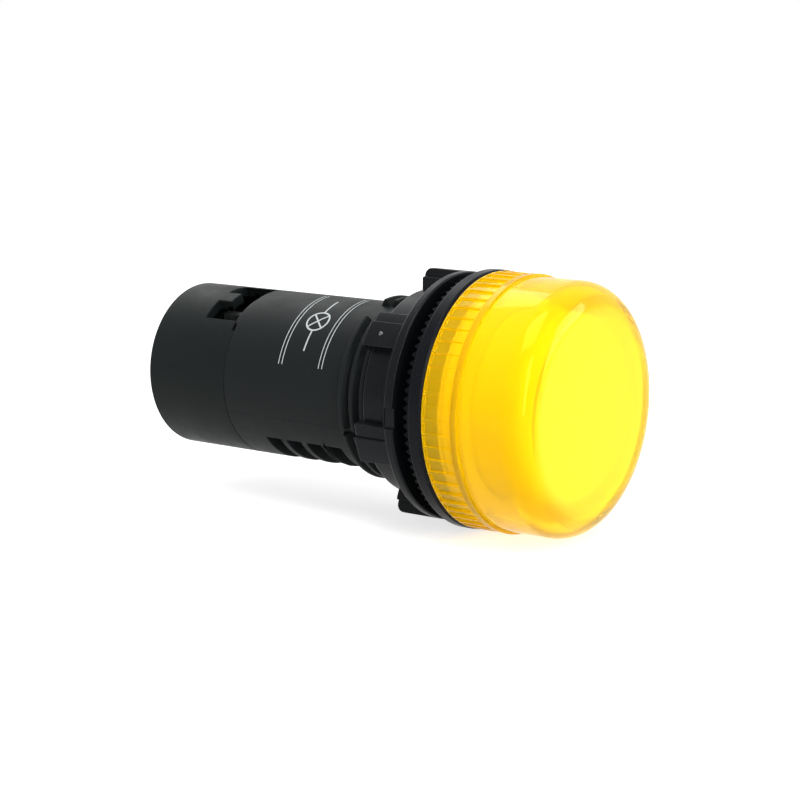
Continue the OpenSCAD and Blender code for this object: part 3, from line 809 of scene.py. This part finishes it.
pins_tin = worked("pins tin", (0.72, 0.71, 0.68), (0.45, 0.43, 0.4), 0.28)
dress("header_pins", pins_tin, 0.05)
blade_brass = worked("blade brass", (0.8, 0.58, 0.26), (0.5, 0.33, 0.15), 0.3)
dress("contact_blades", blade_brass, 0.06)
cage_steel = worked("cage steel", (0.68, 0.69, 0.7), ZINC_STAIN, 0.32, 0.15)
for name in ("clamp_cage_1", "clamp_cage_2"):
    dress(name, cage_steel, 0.06)

# Each screw head has fine rings round its own axis, left by the lathe
for name in ("clamp_screw_1", "clamp_screw_2"):
    low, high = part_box(name)
    steel = worked(
        name.replace("_", " ") + " steel",
        (0.74, 0.74, 0.75),
        ZINC_STAIN,
        0.26,
        streak=0.3,
        depth=0.006,
        lathe_centre=(low + high) / 2,
    )
    dress(name, steel, 0.08)


# ---- Terminal block and header strip ----
# Glass-filled polyester, grey for the block that holds the cages and black for the header strip.

block_grey = moulded_plastic("block grey", (0.075, 0.08, 0.083), 0.5, grain=0.1, depth=0.012)
dress("terminal_block", block_grey, 0.06)
strip_black = moulded_plastic("strip black", (0.014, 0.014, 0.015), 0.45, grain=0.08)
dress("header_strip", strip_black, 0.06)


# ---- Driver board ----
# Green-lacquered glass-fibre laminate. The copper tracks show lighter under the lacquer, and the
# sawn edges show the yellowish laminate itself. It slides in two pairs of rails in the barrel.

ENTRY_TURN = 21
GREEN_LACQUER = (0.008, 0.085, 0.035, 1)
GREEN_OVER_TRACK = (0.02, 0.17, 0.07, 1)
LAMINATE = (0.42, 0.38, 0.2, 1)
LAMINATE_FIBRE = (0.55, 0.5, 0.3, 1)


def turned_place(tree, output="Object"):
    """The point, or the normal, with the turn of the wire entries taken out."""
    given = node(tree, "ShaderNodeTexCoord").outputs[output]
    return node(
        tree,
        "ShaderNodeVectorRotate",
        {"Vector": given, "Axis": (0, 1, 0), "Angle": math.radians(ENTRY_TURN)},
        rotation_type="AXIS_ANGLE",
    ).outputs[0]


# The tracks run between the cells of a brick pattern, seen square on to the board
board_green, tree = new_material("board green")
flat = node(
    tree,
    "ShaderNodeVectorMath",
    {0: turned_place(tree), 1: (1, 1, 0)},
    operation="MULTIPLY",
).outputs[0]
tracks = node(
    tree,
    "ShaderNodeTexBrick",
    {
        "Vector": flat,
        "Color1": (0, 0, 0, 1),
        "Color2": (0, 0, 0, 1),
        "Mortar": (1, 1, 1, 1),
        "Scale": 1 / MM,
        "Mortar Size": 0.22,
        "Mortar Smooth": 0.2,
        "Brick Width": 3.4,
        "Row Height": 1.5,
    },
).outputs["Color"]
facing = maths(tree, "ABSOLUTE", axes(tree, turned_place(tree, "Normal"))["Z"])
sawn = ramp(tree, facing, 0.6, 0.4)
lacquer = blend_colour(tree, tracks, GREEN_LACQUER, GREEN_OVER_TRACK)
laminate = blend_colour(tree, noise(tree, 1800, 2), LAMINATE, LAMINATE_FIBRE)
finish_surface(
    tree,
    {
        "Base Color": blend_colour(tree, sawn, lacquer, laminate),
        "Roughness": ramp(tree, sawn, 0, 1, 0.22, 0.7),
        "Normal": bump(tree, tracks, 0.5, 0.03),
    },
)
dress("driver_board", board_green)


# ---- Parts on the driver board ----
# A capacitor in a blue sleeve with a pale stripe and a bare aluminium end, two lacquered film
# resistors with coloured rings, a black bridge rectifier, and a surge suppressor dipped in epoxy.

SOLDERED_TIN = (0.7, 0.69, 0.66, 1)


def part_surface(name, colour, tin, gloss, lumps):
    """A body in its colour with bare tinned leads, where the tin share is 1.

    colour and tin are functions of the node tree. The height of the lumps is in millimetres.
    """
    material, tree = new_material(name)
    share = tin(tree)
    haze = noise(tree, 1500, 3)
    finish_surface(
        tree,
        {
            "Base Color": blend_colour(tree, share, colour(tree), SOLDERED_TIN),
            "Metallic": share,
            "Roughness": ramp(tree, haze, 0.3, 0.7, gloss, gloss + 0.12),
            "Normal": bump(tree, haze, 0.5, lumps),
        },
    )
    return material


def turned_axis(tree, axis):
    """One coordinate of the point, along the turned board."""
    return axes(tree, turned_place(tree))[axis]


# The capacitor's sleeve stops short of its end, and its stripe marks the negative lead
SLEEVE_BLUE = (0.015, 0.022, 0.13, 1)
STRIPE_PALE = (0.5, 0.52, 0.6, 1)
STRIPE_AT, STRIPE_HALF = 0.6, 0.34
BARE_END = 1.4 * MM
cap_low, cap_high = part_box("smoothing_capacitor")
cap_centre = (cap_low + cap_high) / 2


def cap_colour(tree):
    """The sleeve, with its stripe."""
    place = axes(tree, object_place(tree))
    across = maths(tree, "SUBTRACT", place["X"], cap_centre.x)
    rise = maths(tree, "SUBTRACT", place["Z"], cap_centre.z)
    offset = maths(tree, "SUBTRACT", maths(tree, "ARCTAN2", rise, across), STRIPE_AT)
    stripe = ramp(tree, maths(tree, "ABSOLUTE", offset), STRIPE_HALF, STRIPE_HALF - 0.04)
    return blend_colour(tree, stripe, SLEEVE_BLUE, STRIPE_PALE)


def cap_tin(tree):
    """The bare end."""
    sleeve_end = cap_high.y - BARE_END
    return ramp(tree, turned_axis(tree, "Y"), sleeve_end, sleeve_end + 0.1 * MM)


capacitor_blue = part_surface("capacitor blue", cap_colour, cap_tin, 0.3, 0.01)
dress("smoothing_capacitor", capacitor_blue, 0.08)

# Each resistor has four rings, as [share of its length, colour]
RESISTOR_BLUE = (0.25, 0.5, 0.62, 1)
RESISTOR_RINGS = (
    (0.24, (0.16, 0.05, 0.02, 1)),
    (0.37, (0.01, 0.01, 0.01, 1)),
    (0.5, (0.45, 0.02, 0.01, 1)),
    (0.72, (0.45, 0.3, 0.05, 1)),
)
RING_HALF = 0.34 * MM
RESISTOR_LEAD = 1.3 * MM
resistor_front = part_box("resistors")[0].y
resistor_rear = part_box("resistors")[1].y


def resistor_colour(tree):
    """The body, with its rings."""
    station = turned_axis(tree, "Y")
    colour = RESISTOR_BLUE
    for share, ring_colour in RESISTOR_RINGS:
        middle = resistor_front + share * (resistor_rear - resistor_front)
        offset = maths(tree, "ABSOLUTE", maths(tree, "SUBTRACT", station, middle))
        on_ring = ramp(tree, offset, RING_HALF, RING_HALF - 0.04 * MM)
        colour = blend_colour(tree, on_ring, colour, ring_colour)
    return colour


def resistor_tin(tree):
    """The leads at both ends."""
    station = turned_axis(tree, "Y")
    front, rear = resistor_front + RESISTOR_LEAD, resistor_rear - RESISTOR_LEAD
    front_lead = ramp(tree, station, front, front - 0.1 * MM)
    rear_lead = ramp(tree, station, rear, rear + 0.1 * MM)
    return maths(tree, "MAXIMUM", front_lead, rear_lead)


resistor_body = part_surface("resistor body", resistor_colour, resistor_tin, 0.28, 0.015)
dress("resistors", resistor_body, 0.06)

# The bridge rectifier's legs leave both long sides
BRIDGE_BLACK = (0.011, 0.011, 0.012, 1)
BRIDGE_WORN = (0.02, 0.02, 0.021, 1)
BRIDGE_HALF = 2.1
BOARD_HALF = 6.98
BRIDGE_FROM_EDGE = 2
bridge_middle = -BOARD_HALF + BRIDGE_HALF + BRIDGE_FROM_EDGE


def bridge_colour(tree):
    """Black epoxy, a little worn."""
    return blend_colour(tree, noise(tree, 2500, 2), BRIDGE_BLACK, BRIDGE_WORN)


def bridge_tin(tree):
    """The legs beyond both long sides."""
    offset = maths(tree, "SUBTRACT", turned_axis(tree, "X"), bridge_middle * MM)
    reach = maths(tree, "ABSOLUTE", offset)
    return ramp(tree, reach, BRIDGE_HALF * MM, (BRIDGE_HALF + 0.05) * MM)


rectifier_black = part_surface("rectifier black", bridge_colour, bridge_tin, 0.5, 0.01)
dress("bridge_rectifier", rectifier_black, 0.08)

# The suppressor's epoxy ends just above the board, and its legs go on down
EPOXY_BLUE = (0.012, 0.07, 0.3, 1)
EPOXY_BLUE_THIN = (0.02, 0.1, 0.4, 1)
BOARD_TOP = -3.6
EPOXY_END = BOARD_TOP + 0.95


def suppressor_colour(tree):
    """Blue epoxy, thin in places."""
    return blend_colour(tree, noise(tree, 900, 3), EPOXY_BLUE, EPOXY_BLUE_THIN)


def suppressor_tin(tree):
    """The legs below the epoxy."""
    return ramp(tree, turned_axis(tree, "Z"), EPOXY_END * MM, (EPOXY_END - 0.1) * MM)


suppressor_blue = part_surface("suppressor blue", suppressor_colour, suppressor_tin, 0.18, 0.05)
dress("surge_suppressor", suppressor_blue, 0.3, 3)


# ---- Studio ----
# Pale paper under the lamp, and four soft boxes: a large one above, one behind for the barrel's
# upper edge, and a strip and a square in front for the lens.

FLOOR_HALF = 3.0
WORLD_LIGHT, WORLD_SEEN = 0.4, 1.0
PAPER_LIFT = 0.72


def seen_directly(tree):
    """1 where the camera, a reflection or a view through the lens meets the surface."""
    path = node(tree, "ShaderNodeLightPath").outputs
    seen = maths(tree, "MAXIMUM", path["Is Camera Ray"], path["Is Glossy Ray"])
    return maths(tree, "MAXIMUM", seen, path["Is Transmission Ray"])


world = bpy.data.worlds.new("studio")
scene.world = world
world.use_nodes = True
tree = world.node_tree
tree.nodes.clear()
strength = ramp(tree, seen_directly(tree), 0, 1, WORLD_LIGHT, WORLD_SEEN)
light = node(tree, "ShaderNodeBackground", {"Color": (1, 1, 1, 1), "Strength": strength})
node(tree, "ShaderNodeOutputWorld", {"Surface": light.outputs[0]})

paper, tree = new_material("floor paper")
matt = node(tree, "ShaderNodeBsdfDiffuse", {"Color": (0.7, 0.7, 0.7, 1)})
lift_strength = ramp(tree, seen_directly(tree), 0, 1, 0, PAPER_LIFT)
lift = node(tree, "ShaderNodeEmission", {"Strength": lift_strength})
both = node(tree, "ShaderNodeAddShader", {0: matt.outputs[0], 1: lift.outputs[0]})
# From underneath, the paper is clear, so that the lamp shows from there too
under = node(tree, "ShaderNodeNewGeometry").outputs["Backfacing"]
clear = node(tree, "ShaderNodeBsdfTransparent")
either = node(tree, "ShaderNodeMixShader", {0: under, 1: both.outputs[0], 2: clear.outputs[0]})
node(tree, "ShaderNodeOutputMaterial", {"Surface": either.outputs[0]})

floor_mesh = bpy.data.meshes.new("floor")
level = cad_box[0].z
corners = ((-1, -1), (1, -1), (1, 1), (-1, 1))
spread = [(x * FLOOR_HALF, y * FLOOR_HALF, level) for x, y in corners]
floor_mesh.from_pydata(spread, [], [(0, 1, 2, 3)])
floor_mesh.materials.append(paper)
floor = bpy.data.objects.new("floor", floor_mesh)
scene.collection.objects.link(floor)


def soft_box(name, place, target, width, height, power):
    """A rectangular lamp that faces a point. Power is in watts."""
    data = bpy.data.lights.new(name, "AREA")
    data.shape = "RECTANGLE"
    data.size = width
    data.size_y = height
    data.energy = power
    box = bpy.data.objects.new(name, data)
    scene.collection.objects.link(box)
    box.location = place
    box.rotation_mode = "QUATERNION"
    box.rotation_quaternion = (Vector(place) - Vector(target)).to_track_quat("Z", "Y")


soft_box("top box", (-0.15, -0.1, 0.6), (0, 0.01, 0), 0.4, 0.4, 2.2)
soft_box("rear box", (0.2, 0.45, 0.4), (0, 0.01, 0), 0.4, 0.4, 0.9)
soft_box("front box", (-0.3, -0.6, 0.22), (0, 0, 0), 0.12, 0.5, 1.8)
soft_box("side box", (0.4, -0.5, 0.16), (0, -0.01, 0), 0.3, 0.3, 1.3)
